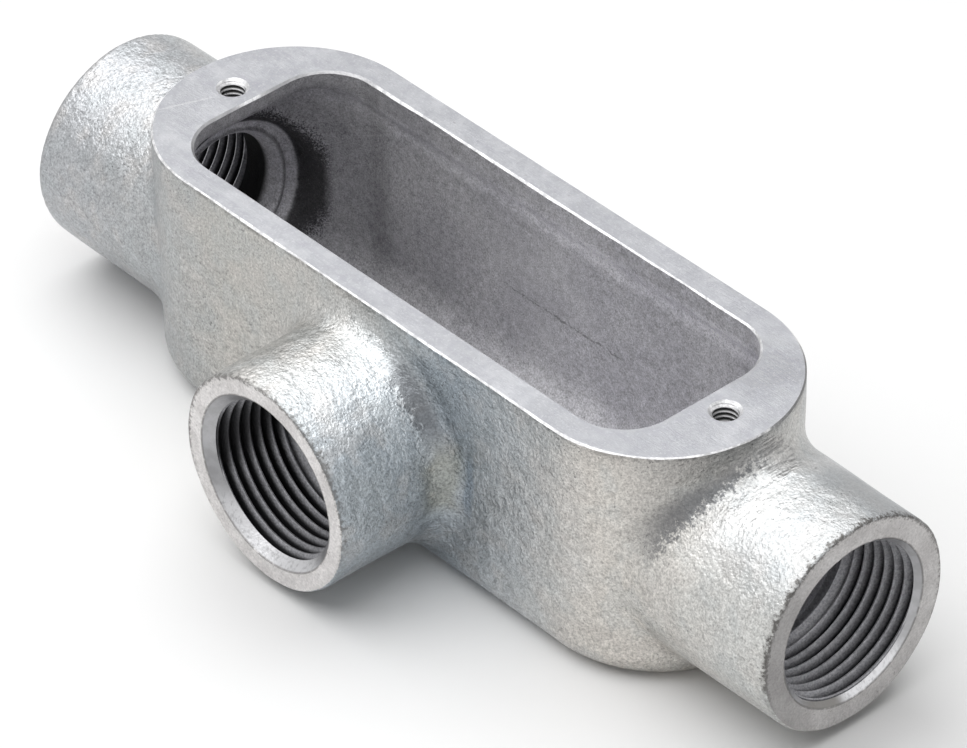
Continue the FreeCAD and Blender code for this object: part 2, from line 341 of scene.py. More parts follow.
def settle(piece):
    """Apply a piece's modifiers."""
    graph = bpy.context.evaluated_depsgraph_get()
    old = piece.data
    piece.data = bpy.data.meshes.new_from_object(piece.evaluated_get(graph))
    piece.modifiers.clear()
    bpy.data.meshes.remove(old)


def machine(piece, tool, operation="DIFFERENCE"):
    """Cut a piece with a tool, and put the tool away."""
    cut = piece.modifiers.new("Cut", "BOOLEAN")
    cut.solver = "MANIFOLD"
    cut.operation = operation
    cut.object = tool
    settle(piece)
    bpy.data.objects.remove(tool)


def gather(meshes):
    """Put several sets of points and triangles together as one."""
    points = []
    faces = []
    count = 0
    for own_points, own_faces in meshes:
        points.append(np.asarray(own_points, float))
        faces.append(np.asarray(own_faces) + count)
        count += len(own_points)
    return np.concatenate(points), np.concatenate(faces)


def halves(squares):
    """Split squares into triangles."""
    squares = np.asarray(squares)
    return np.concatenate([squares[:, [0, 1, 2]], squares[:, [0, 2, 3]]])


def place_on_hub(points, heading):
    """Move points from a hub's own frame, with its axis along Z, to the hub."""
    angle = math.radians(heading)
    aside = np.array([-math.sin(angle), math.cos(angle), 0])
    along = np.array([math.cos(angle), math.sin(angle), 0])
    turn = np.stack([aside, [0, 0, 1], along])
    return points @ turn + [0, 0, AXIS_HEIGHT]


def place_on_screw(points, side):
    """Move points from a screw's own frame, with its mouth at nought, to the screw."""
    return points + [side * SCREW_PLACE, 0, HEIGHT]


def turned(profile, steps=96):
    """Turn a profile of (radius, height) round Z; its ends are on the axis."""
    inner = profile[1:-1]
    angles = np.arange(steps) * math.tau / steps
    points = [[0, 0, profile[0][1]], [0, 0, profile[-1][1]]]
    for radius, height in inner:
        points += [[radius * math.cos(angle), radius * math.sin(angle), height] for angle in angles]
    faces = []
    here = np.arange(steps)
    following = (here + 1) % steps
    for row in range(len(inner) - 1):
        low = 2 + row * steps
        high = low + steps
        squares = np.stack([low + here, low + following, high + following, high + here], axis=1)
        faces.append(halves(squares))
    last = 2 + (len(inner) - 1) * steps
    faces.append(np.stack([0 * here, 2 + following, 2 + here], axis=1))
    faces.append(np.stack([0 * here + 1, last + here, last + following], axis=1))
    return np.array(points), np.concatenate(faces)


def cylinder(radius, low, high, steps=96):
    """A solid cylinder round Z."""
    return turned([(0, low), (radius, low), (radius, high), (0, high)], steps)


def outline_points(half_length, half_width, corner, offset, steps=24):
    """Points round a rectangle with round corners, moved out by an offset."""
    points = []
    for quarter in range(4):
        right = 1 if quarter in (0, 3) else -1
        up = 1 if quarter in (0, 1) else -1
        for step in range(steps + 1):
            angle = (quarter + step / steps) * math.pi / 2
            radius = corner + offset
            x = right * (half_length - corner) + radius * math.cos(angle)
            y = up * (half_width - corner) + radius * math.sin(angle)
            points.append([x, y])
    return np.array(points)


def swept(outline, profile):
    """Sweep a closed profile of (offset, height) round an outline.

    Seen along the outline, the profile runs anticlockwise with the offset to the right.
    """
    rows = []
    for offset, height in profile:
        flat = outline_points(*outline, offset)
        rows.append(np.column_stack([flat, np.full(len(flat), height)]))
    steps = len(rows[0])
    here = np.arange(steps)
    following = (here + 1) % steps
    faces = []
    for row in range(len(rows)):
        low = row * steps
        high = (row + 1) % len(rows) * steps
        squares = np.stack([low + here, low + following, high + following, high + here], axis=1)
        faces.append(halves(squares))
    return np.concatenate(rows), np.concatenate(faces)


def block(low, high):
    """A box between two corners, in triangles."""
    points = np.array(list(itertools.product(*zip(low, high))))
    squares = [[0, 1, 3, 2], [4, 6, 7, 5], [0, 4, 5, 1], [2, 3, 7, 6], [0, 2, 6, 4], [1, 5, 7, 3]]
    return points, halves(squares)


def tap(thread, depth, steps, chamfer=0):
    """A thread's cutting form along Z, with its mouth at nought, from below the depth to above the rise.

    It leaves a chamfer at the mouth whole. Its rows of points follow the helix, so the crests and roots are
    smooth lines. Each station is a share of the pitch and how much of the thread's depth is cut there.
    """
    pitch = thread["pitch"]
    stations = ((0, 1), (0.08, 1), (0.42, 0.12), (0.5, 0), (0.58, 0), (0.66, 0.12))
    turns = range(-int(depth / pitch) - 3, int(thread["rise"] / pitch) + 3)
    angles = np.arange(steps) / steps
    rows = []
    for turn in turns:
        for share, cut in stations:
            height = (turn + share + angles) * pitch
            crest = thread["crest"] + thread["taper"] * height
            allowed = np.clip((height + depth) / thread["lead"], 0, 1)
            if chamfer:
                allowed = allowed * np.clip((FADE_END - chamfer - height) / FADE, 0, 1)
            radius = crest + np.minimum(cut, allowed) * (thread["root"] - thread["crest"])
            turned_angle = angles * math.tau
            x = radius * np.cos(turned_angle)
            y = radius * np.sin(turned_angle)
            rows.append(np.column_stack([x, y, height]))
    rows = np.stack(rows)
    count = len(rows)
    number = np.arange(count * steps).reshape(count, steps)
    shifted = len(stations)
    here = number[:-1]
    above = number[1:]
    rings = [here[:, :-1], here[:, 1:], above[:, 1:], above[:, :-1]]
    squares = [np.stack(rings, axis=-1).reshape(-1, 4)]
    seam = np.arange(count - 1 - shifted)
    last = number[:, -1]
    first = number[:, 0]
    following = seam + shifted
    squares.append(np.stack([last[seam], first[following], first[following + 1], last[seam + 1]], axis=-1))
    bottom = count * steps
    top = bottom + 1
    faces = [halves(np.concatenate(squares))]
    low_ring = np.concatenate([number[0], first[1:shifted + 1][::-1]])
    faces.append(np.stack([np.full(len(low_ring), bottom), np.roll(low_ring, -1), low_ring], axis=1))
    high_ring = np.concatenate([number[-1], last[-1 - shifted:-1][::-1]])
    faces.append(np.stack([np.full(len(high_ring), top), high_ring, np.roll(high_ring, -1)], axis=1))
    ends = [[0, 0, rows[..., 2].min() - 3 * pitch], [0, 0, rows[..., 2].max() + 3 * pitch]]
    return np.concatenate([rows.reshape(-1, 3), ends]), np.concatenate(faces)


# The casting, machined.

def face_tools():
    """The tools that face the cover side and the three hubs."""
    far = RUN_FACE + 2 * CLEAR
    wide = HALF_WIDTH + CLEAR
    tools = [block((-far, -wide, HEIGHT), (far, wide, HEIGHT + COVER_TOOL))]
    for heading, face, _, _ in HUBS:
        points, faces = cylinder(HUB_MOUTH + CLEAR, face, face + HUB_TOOL)
        tools.append((place_on_hub(points, heading), faces))
    return gather(tools)


def edge_tools():
    """The tools that break the rims and countersink the bores."""
    body = (HALF_LENGTH, HALF_WIDTH, HALF_WIDTH)
    opening = (OPENING_LENGTH, OPENING_WIDTH, OPENING_CORNER)
    above = HEIGHT + PAST
    rim = [(-RIM_BREAK - PAST, above), (PAST, HEIGHT - RIM_BREAK - PAST), (2 * PAST, above)]
    inner = [(OPENING_CHAMFER + PAST, above), (-2 * PAST, above), (-PAST, HEIGHT - OPENING_CHAMFER - PAST)]
    tools = [swept(body, rim), swept(opening, inner)]
    for heading, face, _, chamfer in HUBS:
        mouth = BORE_RADIUS + chamfer
        bottom = face - chamfer - PAST
        outer = face + PAST
        profile = [(0, bottom), (BORE_RADIUS - PAST, bottom), (mouth + PAST, outer), (0, outer)]
        points, faces = turned(profile)
        tools.append((place_on_hub(points, heading), faces))
    for side in (-1, 1):
        mouth = SCREW_RADIUS + SCREW_CHAMFER
        profile = [(0, -mouth), (0.01, -mouth), (mouth + PAST, PAST), (0, PAST)]
        points, faces = turned(profile, 48)
        tools.append((place_on_screw(points, side), faces))
    return gather(tools)


def threading_tools():
    """The pipe taps and the screw taps, each cut to its own depth."""
    taps = []
    limits = []
    for heading, face, _, chamfer in HUBS:
        points, faces = tap(PIPE_THREAD, THREAD_LENGTH, 96, chamfer)
        taps.append((place_on_hub(points + [0, 0, face], heading), faces))
        points, faces = cylinder(PIPE_THREAD["limit"], face - THREAD_LENGTH, face + PIPE_THREAD["rise"], 32)
        limits.append((place_on_hub(points, heading), faces))
    for side in (-1, 1):
        points, faces = tap(SCREW_THREAD, FLANGE + SCREW_RADIUS, 40)
        taps.append((place_on_screw(points, side), faces))
        points, faces = cylinder(SCREW_THREAD["limit"], -FLANGE - SCREW_RADIUS, SCREW_THREAD["rise"], 32)
        limits.append((place_on_screw(points, side), faces))
    tools = new_piece("taps", *gather(taps))
    machine(tools, new_piece("limits", *gather(limits)), "INTERSECT")
    return tools


def make_casting():
    """Mesh the raw casting, thin the mesh, machine it and keep it inside the part's box."""
    points, squares = raw_casting()
    casting = new_piece("casting", points, squares)
    thin = casting.modifiers.new("Thin", "DECIMATE")
    thin.ratio = SKIN_TRIANGLES / (2 * len(squares))
    settle(casting)
    machine(casting, new_piece("face_tools", *face_tools()))
    machine(casting, new_piece("edge_tools", *edge_tools()))
    machine(casting, threading_tools())
    low = Vector((-RUN_FACE, -SIDE_FACE, 0)) * MM
    high = Vector((RUN_FACE, HALF_WIDTH, HEIGHT)) * MM
    count = len(casting.data.vertices)
    points = np.empty(count * 3, np.float32)
    casting.data.vertices.foreach_get("co", points)
    points = np.clip(points.reshape(-1, 3), low, high)
    casting.data.vertices.foreach_set("co", points.ravel())

    # The cuts leave slivers without area.
    mesh = bmesh.new()
    mesh.from_mesh(casting.data)
    bmesh.ops.dissolve_degenerate(mesh, dist=SLIVER * MM, edges=mesh.edges[:])
    bmesh.ops.triangulate(mesh, faces=mesh.faces[:])
    mesh.to_mesh(casting.data)
    mesh.free()
    return casting


# Materials.

class Signal:
    """A socket of a material that can be added, subtracted and multiplied like a number."""

    def __init__(self, socket):
        self.socket = socket

    def __add__(self, other):
        return combined("ADD", self, other)

    def __sub__(self, other):
        return combined("SUBTRACT", self, other)

    def __mul__(self, other):
        return combined("MULTIPLY", self, other)

    __rmul__ = __mul__

    def __abs__(self):
        return combined("ABSOLUTE", self, 0)


def fill(made, inputs):
    """Set a node's inputs; each is a signal to link, or a value. Colours have no alpha."""
    for name, value in inputs.items():
        socket = made.inputs[name]
        if isinstance(value, Signal):
            socket.id_data.links.new(value.socket, socket)
        else:
            socket.default_value = (*value, 1) if socket.type == "RGBA" else value


def node(tree, kind, inputs=None, **settings):
    """Add a shader node."""
    made = tree.nodes.new("ShaderNode" + kind)
    for name, value in settings.items():
        setattr(made, name, value)
    fill(made, inputs or {})
    return made


def signal(kind, inputs, output=0, **settings):
    """Add a shader node beside the ones that its inputs come from, and return one of its outputs."""
    trees = [value.socket.id_data for value in inputs.values() if isinstance(value, Signal)]
    return Signal(node(trees[0], kind, inputs, **settings).outputs[output])


def combined(operation, one, two):
    """Combine two numbers."""
    return signal("Math", {0: one, 1: two}, operation=operation)


def highest(first, *others):
    """The highest of several numbers."""
    for other in others:
        first = combined("MAXIMUM", first, other)
    return first


def blended(share, one, two):
    """Mix two colours."""
    return signal("MixRGB", {"Fac": share, "Color1": one, "Color2": two})


def multiplied(colour, value):
    """Multiply a colour by a number or by another colour."""
    return signal("MixRGB", {"Fac": 1.0, "Color1": colour, "Color2": value}, blend_type="MULTIPLY")


def between(value, low, high):
    """Map a number from low..high to 0..1, smoothly."""
    inputs = {"Value": value, "From Min": low, "From Max": high}
    return signal("MapRange", inputs, interpolation_type="SMOOTHSTEP")


def ranged(value, low, high, least, most):
    """Map a number from low..high to least..most, in a straight line."""
    inputs = {"Value": value, "From Min": low, "From Max": high, "To Min": least, "To Max": most}
    return signal("MapRange", inputs)


def noise(place, size, detail=2, roughness=0.5):
    """Noise from 0 to 1 with humps about a size wide, in millimetres."""
    inputs = {"Vector": place, "Scale": 1 / (size * MM), "Detail": detail, "Roughness": roughness}
    return signal("TexNoise", inputs, "Fac")


def speckle(place, size, low, high):
    """A share from 0 to 1 that is 1 in scattered specks about a size wide."""
    return between(noise(place, size, 2, 0.6), low, high)


def stretched(place, shares, heading=0):
    """Turn a place about Z and scale it along each axis, so that noise there makes streaks."""
    turn = (0, 0, math.radians(heading))
    return signal("Mapping", {"Vector": place, "Rotation": turn, "Scale": shares})


def raise_bumps(height, depth, under=None):
    """Turn heights of 0..1 into bumps of a depth in millimetres, on other bumps if they are given."""
    inputs = {"Height": height, "Distance": depth * MM}
    if under is not None:
        inputs["Normal"] = under
    return signal("Bump", inputs)


def coordinates(place):
    """The three coordinates of a place, in millimetres."""
    parts = node(place.socket.id_data, "SeparateXYZ", {"Vector": place})
    return [Signal(output) * (1 / MM) for output in parts.outputs]


def length(*sides):
    """The length of a line from what it covers along each axis."""
    line = signal("CombineXYZ", dict(zip("XYZ", sides)))
    return signal("VectorMath", {0: line}, "Value", operation="LENGTH")


def zone(spot, **axes):
    """A share from 0 to 1 that is 1 in a zone of the casting, in millimetres.

    Each axis has where the zone starts and where it is full, and, if it ends there, where it fades and ends.
    """
    share = 1
    for axis, limits in axes.items():
        value = spot["xyz".index(axis)]
        share = share * between(value, *limits[:2])
        if limits[2:]:
            share = share * between(value, limits[3], limits[2])
    return share


def outside_body(x, y):
    """About how far a place lies outside the body's outline, in millimetres."""
    corner = HALF_WIDTH - END_FLAT
    sides = ((x, HALF_LENGTH), (y, HALF_WIDTH))
    return length(*(highest(abs(value) - (half - corner), 0) for value, half in sides)) - corner


def valley_shade(place, spot, heading, edge, reach, shares):
    """Painted shade beside a hub's root, which ends in a furry fringe on the hub.

    The edge is how far outside the body the fringe lies, the reach is how far the shade goes from the hub's
    barrel, and the shares are how much darker the fringe is and how dark the rest is.
    """
    along, away = hub_coordinates(*spot, heading, length)
    furry = outside_body(*spot[:2]) + (noise(place, 0.8, 3, 0.7) - 0.5) * 8
    fringe = between(away, HUB_MOUTH + 3.5, HUB_MOUTH + 1)
    dark = between(furry, edge + 0.7, edge - 0.7) * (fringe * shares[0] + shares[1])
    return dark * between(along, 12, 16) * between(away, HUB_MOUTH + reach + 2, HUB_MOUTH + reach - 1)


def new_material(name):
    """Start a material: return it, its shader, the place on the casting and that place's coordinates."""
    material = bpy.data.materials.new(name)
    material.use_nodes = True
    tree = material.node_tree
    tree.nodes.clear()
    shader = node(tree, "BsdfPrincipled")
    node(tree, "OutputMaterial", {"Surface": Signal(shader.outputs[0])})
    place = Signal(node(tree, "TexCoord").outputs["Object"])
    return material, shader, place, coordinates(place)


def skin_finish():
    """Zinc-plated cast skin: fine leathery grain, cloudy tints and dark specks."""
    material, shader, place, spot = new_material("skin")
    x, y, z = spot
    fine = noise(place, 0.3, 2, 0.65)
    grain = noise(place, 0.62, 2, 0.55)
    lumps = noise(place, 1.5)
    swell = noise(place, 5)
    mottle = noise(place, 4.5)
    drift = noise(place, 14, 3, 0.6) - 0.5

    # File marks run across the top of the right hub's root.
    filed = between(length(x - 58.6, y - 1.8, z - 35), 4.2, 2.6)
    marks = noise(stretched(place, (1, 0.06, 1)), 0.4, 1)
    bumps = None
    for height, depth in ((swell, 0.45), (lumps, 0.13), (grain, 0.145), (fine, 0.075), (marks * filed, 0.25)):
        bumps = raise_bumps(height, depth, bumps)

    # The tint drifts from left to right, in warm and cool clouds, with painted shade in the darker bluish
    # band right of the side hub, and is plain at the back.
    tint = signal("ValToRGB", {"Fac": ranged(x + drift * 18, -75, 75, 0, 1)})
    stops = tint.socket.node.color_ramp.elements
    for position, colour in SKIN_TINTS:
        stops.new(position).color = (*colour, 1)
    stops.remove(stops[0])
    stops.remove(stops[-1])
    colour = blended(between(y, 4, 14), tint, (0.46, 0.465, 0.46))
    colour = blended(between(mottle, 0.5, 0.66) * 0.22, colour, (0.58, 0.54, 0.51))
    colour = blended(between(mottle, 0.5, 0.34) * 0.22, colour, (0.4, 0.435, 0.45))

    # Every grain has its own shade, less so on top of the right hub.
    right_top = zone(spot, x=(54, 60), z=(24, 31))
    spread = ranged(fine + grain * 0.5 + lumps * 0.2, 0.5, 1.2, -0.52, 0.52)
    colour = multiplied(colour, spread * (right_top * -0.4 + 1) + 1)

    # A painted highlight lightens the side hub's top up to the root.
    outside = outside_body(x, y)
    painted_highlight = between(outside, 2, 3.6) * between(outside, 10, 5) * zone(spot, x=(2, 7), z=(22, 27))
    colour = multiplied(colour, painted_highlight * 0.22 + 1)

    # Beside that root lie an olive patch and a bluish line.
    beside = zone(spot, y=(-25, -22, -18, -16), z=(12, 16, 22, 27))
    shifted = x + drift * 6
    olive = beside * between(shifted, 14, 15.5) * between(shifted, 19.5, 17.5)
    colour = blended(olive * 0.8, colour, multiplied(colour, (0.7, 0.66, 0.56)))
    bluish = beside * between(abs(shifted - 20.6), 1.4, 0.4)
    colour = blended(bluish * 0.7, colour, multiplied(colour, (0.7, 0.77, 0.86)))

    # Painted shade darkens the right hub's far side and top, dimming their highlight, and the edge under the
    # cover face is dark.
    far_top_shade = zone(spot, x=(59, 64), y=(2, 5), z=(22, 31))
    colour = blended(far_top_shade * 0.4, colour, (0.35, 0.355, 0.36))
    colour = blended(right_top, colour, multiplied(colour, (0.735, 0.75, 0.775)))
    edge = between(z, HEIGHT - 1.1, HEIGHT - 0.5) * between(lumps, 0.4, 0.56)
    colour = multiplied(colour, edge * -0.35 + 1)

    # Pits lie in patches and under the rim at the right.
    under_rim = zone(spot, x=(10, 35), z=(HEIGHT - 5, HEIGHT - 1))
    pits = speckle(place, 0.36, 0.62, 0.7) * highest(between(noise(place, 8), 0.42, 0.7), under_rim)
    colour = blended(pits * 0.8, colour, (0.09, 0.09, 0.09))

    # Painted shade darkens the valleys in front of the right hub's root and at the right of the side hub's
    # root, and a little of it lies under the rim at the right.
    right_valley = valley_shade(place, spot, 0, 0.8, 9, (0.55, 0.3))
    side_valley = valley_shade(place, spot, 270, 3.1, 2, (0.5, 0.34))
    shade = highest(right_valley * zone(spot, x=(46, 54), y=(4, -3), z=(20, 27)),
                    side_valley * zone(spot, x=(5, 10), z=(21, 28)))
    colour = blended((shade + under_rim * 0.12) * 0.9, colour, (0.085, 0.09, 0.1))
    colour = blended(between(marks, 0.5, 0.38) * filed * 0.6, colour, (0.2, 0.2, 0.2))

    # A dark crinkled fringe surrounds each hub's face: rough dark flecks, partly painted shade on the edge.
    crinkles = noise(place, 0.6, 3, 0.75) - 0.5
    fringes = []
    for (heading, face, _, _), strength in zip(HUBS, FRINGE_STRENGTHS):
        along, _ = hub_coordinates(*spot, heading, length)
        fringes.append(between(along + crinkles * 5, face - 0.9, face) * strength)
    fringe = highest(*fringes) * between(z, 6, 18) * between(lumps, 0.25, 0.5)
    colour = blended(fringe, colour, (0.09, 0.085, 0.08))
    rough = ranged(lumps, 0.3, 0.7, 0.33, 0.45)
    fill(shader, {"Base Color": colour, "Normal": bumps, "Metallic": 0.95, "Roughness": rough})
    return material


def chamber_finish():
    """Cored inside: a matte, fine sandy grain, with painted shade that turns the bores black behind the
    threads.
    """
    material, shader, place, spot = new_material("chamber")
    x, _, z = spot
    fine = noise(place, 0.26, 2, 0.7)
    lumps = noise(place, 1.2)
    bumps = raise_bumps(fine * 0.8 + lumps, 0.12)
    clouds = between(noise(place, 9, 3, 0.6), 0.35, 0.65)
    colour = blended(clouds, (0.56, 0.555, 0.585), (0.64, 0.635, 0.66))
    colour = multiplied(colour, ranged(fine + lumps * 0.4, 0.4, 1, 0.47, 1.53))

    # Painted shade darkens it towards the left end, painted light lifts it at the back under the flange, and
    # a streak of painted shade lies there near the left end.
    colour = multiplied(colour, ranged(x, -26, 5, 0.72, 1))
    ceiling = HEIGHT - FLANGE
    light = zone(spot, y=(9, 12), z=(ceiling - 5, ceiling - 2, ceiling - 0.5, ceiling + 1))
    colour = multiplied(colour, light * 0.4 + 1)
    bend_shade = between(abs(x + 37.6), 3.5, 0.5) * zone(spot, y=(8, 12), z=(4, 10))
    colour = multiplied(colour, bend_shade * -0.23 + 1)

    # A broken, dark parting line runs along the back wall.
    wander = (noise(place, 1.4, 4, 0.75) - 0.5) * 2
    line = between(abs(z + wander - 18.4), 0.26, 0.06) * zone(spot, x=(-19, -8, 11, 16), y=(10, 12))
    broken = between(noise(place, 1, 3, 0.6), 0.38, 0.56)
    colour = blended(line * broken * 0.62, colour, (0.12, 0.12, 0.12))

    # Each bushing ring's bell is lighter, with painted shade in its groove, and painted shade lies black
    # behind the ring and dark round it.
    ragged = (lumps - 0.5) * 1.4
    gritty = ragged + (fine - 0.5) * 5
    bells, painted_shade = [], []
    for heading, _, wall, _ in HUBS:
        along, away = hub_coordinates(*spot, heading, length)
        ring = wall + RING_SETBACK
        bells.append(between(along, ring - 2.5, ring - 1.5) * between(away, NOSE + 0.1, NOSE - 0.3))
        behind = between(along, ring + 2.4, ring + 4)
        beside = between(away, NOSE - 0.5, NOSE - 0.05) * between(away + gritty, NOSE + 2.6, NOSE + 0.6)
        beside = beside * between(along + ragged, ring - 7, ring - 5)
        groove = between(abs(away + ragged * 0.3 - 11.3), 0.5, 0.1) * between(along, ring - 3, ring - 2)
        painted_shade += [behind, beside * 0.82, groove * 0.5]
    colour = multiplied(colour, highest(*bells) * 0.5 + 1)
    colour = blended(highest(*painted_shade) * 0.99, colour, (0.004, 0.004, 0.005))
    fill(shader, {"Base Color": colour, "Normal": bumps, "Metallic": 0.2, "Roughness": 0.7,
                  "Specular IOR Level": 0.06})
    return material


def cover_face_finish():
    """Ground face: fine straight scratches, faint clouding and stains."""
    material, shader, place, spot = new_material("cover_face")
    x, y, z = spot
    grain = noise(place, 0.35, 2, 0.6)
    scratches = noise(stretched(place, (0.05, 1, 1), -25), 0.12, 2, 0.6)
    streaks = noise(stretched(place, (0.12, 1, 1), -25), 1.1, 3, 0.6)
    bumps = raise_bumps(scratches + grain * 1.2, 0.02)
    clouds = between(noise(place, 7, 4, 0.6), 0.35, 0.68)
    patches = between(noise(place, 2.6, 4, 0.65), 0.38, 0.66)
    colour = blended(clouds, (0.355, 0.36, 0.38), (0.43, 0.435, 0.455))
    colour = blended(patches * 0.6, colour, (0.3, 0.305, 0.33))
    colour = blended(between(streaks, 0.5, 0.7) * 0.4, colour, (0.3, 0.3, 0.33))
    colour = blended(between(grain, 0.54, 0.68) * 0.4, colour, (0.52, 0.52, 0.54))
    colour = blended(speckle(place, 0.7, 0.68, 0.72) * 0.6, colour, (0.25, 0.25, 0.26))

    # A long scratch runs beside the left screw hole.
    scratch = between(abs(x - y * 0.38 + 48.9), 0.22, 0.08) * zone(spot, y=(-12, -10, -4.5, -3))
    colour = blended(scratch * 0.35, colour, (0.6, 0.6, 0.6))

    # The right end is stained.
    stain = between(length(x - 47, y - 10, z - HEIGHT) + (patches - 0.5) * 4, 6.5, 3)
    colour = multiplied(colour, stain * -0.17 + 1)
    rough = ranged(streaks, 0, 1, 0.26, 0.4)
    fill(shader, {"Base Color": colour, "Normal": bumps, "Metallic": 0.9, "Roughness": rough})
    return material


def hub_face_finish():
    """Faced end of a hub, a dull warm grey with a dark crinkled rim, and its bright countersink."""
    material, shader, place, spot = new_material("hub_face")
    x, y, z = spot
    grain = noise(place, 0.35, 2, 0.65)
    lumps = noise(place, 1.3)
    bumps = raise_bumps(grain + lumps * 0.5, 0.05)
    clouds = between(noise(place, 4, 3, 0.6), 0.35, 0.65)
    colour = blended(clouds, (0.5, 0.485, 0.48), (0.6, 0.585, 0.58))
    colour = multiplied(colour, ranged(grain, 0.2, 0.8, 0.78, 1.22))

    # The side hub's face, turned to the front, is lighter as painted light, and the right hub's is darker at
    # its left.
    side_hub = between(y, -30, -34)
    right_hub = between(x, 60, 64)
    colour = multiplied(colour, side_hub * 0.28 + 1)
    colour = multiplied(colour, right_hub * between(y, -6, -12) * -0.3 + 1)
    colour = blended(speckle(place, 0.4, 0.66, 0.74) * 0.6, colour, (0.2, 0.19, 0.18))

    # Each face has a dark crinkled rim, partly painted shade, and a thin ring where its countersink starts.
    crinkles = noise(place, 0.6, 3, 0.75) - 0.5
    rims, rings, cones = [], [], []
    for heading, _, _, chamfer in HUBS:
        along, away = hub_coordinates(*spot, heading, length)
        here = between(along, 30, 33)
        mouth = BORE_RADIUS + chamfer
        rims.append(between(away + crinkles * 2.4, HUB_MOUTH - 0.8, HUB_MOUTH - 0.2) * here)
        rings.append(between(abs(away - mouth), 0.2, 0.06) * here)
        cones.append(between(away, mouth, mouth - 0.1) * here)
    rim = highest(*rims) * between(z, 6, 20)
    ring = highest(*rings) * between(lumps, 0.3, 0.5)
    cone = highest(*cones)
    colour = blended(rim * 0.75, colour, (0.1, 0.095, 0.09))

    # Low down, the countersinks are darker in places and brighter in streaks in others.
    metal = blended(between(lumps, 0.35, 0.65), (0.41, 0.41, 0.42), (0.47, 0.47, 0.485))
    metal = multiplied(metal, side_hub * between(z, 20, 13) * -0.3 + 1)
    right_low = right_hub * between(z, 11, 7.5)
    metal = blended(right_low * between(y, 0, -3) * 0.8, metal, (0.2, 0.19, 0.175))
    streaks = noise(stretched(place, (1, 1, 0.25)), 0.5, 3, 0.7)
    bright_patch = highest(right_low * zone(spot, y=(-2.5, 0, 8, 10.5)) * 0.8, side_hub * between(z, 12, 8) * 0.5)
    metal = blended(bright_patch * between(streaks, 0.2, 0.55), metal, (0.82, 0.82, 0.84))
    colour = blended(cone, colour, metal)
    colour = blended(ring * 0.6, colour, (0.12, 0.115, 0.11))
    fill(shader, {"Base Color": colour, "Normal": bumps, "Metallic": ranged(cone, 0, 1, 0.55, 0.9),
                  "Roughness": ranged(cone, 0, 1, 0.55, 0.36)})
    return material


def thread_finish():
    """Cut pipe threads: painted shade turns the roots black, with lighter crests."""
    material, shader, place, spot = new_material("thread")
    grain = noise(place, 0.3, 2, 0.6)
    stains = between(noise(place, 1.6, 2, 0.6), 0.45, 0.65)
    colour = blended(between(grain, 0.3, 0.7), (0.24, 0.24, 0.255), (0.42, 0.42, 0.44))
    colour = blended(stains * 0.35, colour, (0.2, 0.2, 0.21))
    # Painted shade: each hub's roots darken to black from its own depths.
    roots = []
    for (heading, face, _, _), (shade_start, black) in zip(HUBS, ROOT_PAINTED_SHADE):
        along, away = hub_coordinates(*spot, heading, length)
        crest = (along - face) * PIPE_THREAD["taper"] + PIPE_THREAD["crest"]
        roots.append(between(away - crest, shade_start, black) * between(along, 10, 12))
    colour = blended(highest(*roots) * 0.95, colour, (0.02, 0.02, 0.022))
    bumps = raise_bumps(grain, 0.04)
    fill(shader, {"Base Color": colour, "Normal": bumps, "Metallic": 0.85, "Roughness": 0.45})
    return material


def bright_cut_finish():
    """Burred edges, countersinks and screw threads: bright, freshly cut metal."""
    material, shader, place, spot = new_material("bright_cut")
    x, y, z = spot
    worn = between(noise(place, 1.7, 4, 0.75), 0.36, 0.64)
    colour = blended(worn, (0.88, 0.88, 0.89), (0.5, 0.5, 0.51))

    # The opening's edge is dull at its left end, and the outer edge is dark at its right end.
    outside = outside_body(x, y)
    away = length(abs(x) - SCREW_PLACE, y)
    dull = between(x, -32, -40) * between(away, 4, 5) * between(outside, -1.5, -2)
    colour = blended(dull * 0.75, colour, (0.28, 0.28, 0.29))
    dark = between(x, HALF_LENGTH - 14, HALF_LENGTH - 7) * between(y + worn * 2, -2, 6)
    dark = dark * between(outside, -2, -1.5)
    colour = blended(dark * 0.85, colour, (0.12, 0.12, 0.12))

    # The screw threads are duller, with black roots.
    below = between(z, HEIGHT - SCREW_CHAMFER, HEIGHT - SCREW_CHAMFER - 0.3)
    colour = blended(below, colour, (0.5, 0.5, 0.51))
    root = between(away, SCREW_RADIUS + 0.03, SCREW_RADIUS + 0.23)
    colour = blended(below * root * 0.96, colour, (0.015, 0.015, 0.015))
    bumps = raise_bumps(noise(place, 0.3, 2, 0.6), 0.05)
    fill(shader, {"Base Color": colour, "Normal": bumps, "Metallic": 0.9, "Roughness": 0.38})
    return material


# The finishes' numbers, in the order of the casting's materials.
SKIN, CHAMBER, COVER_FACE, HUB_FACE, THREAD, BRIGHT_CUT = range(6)


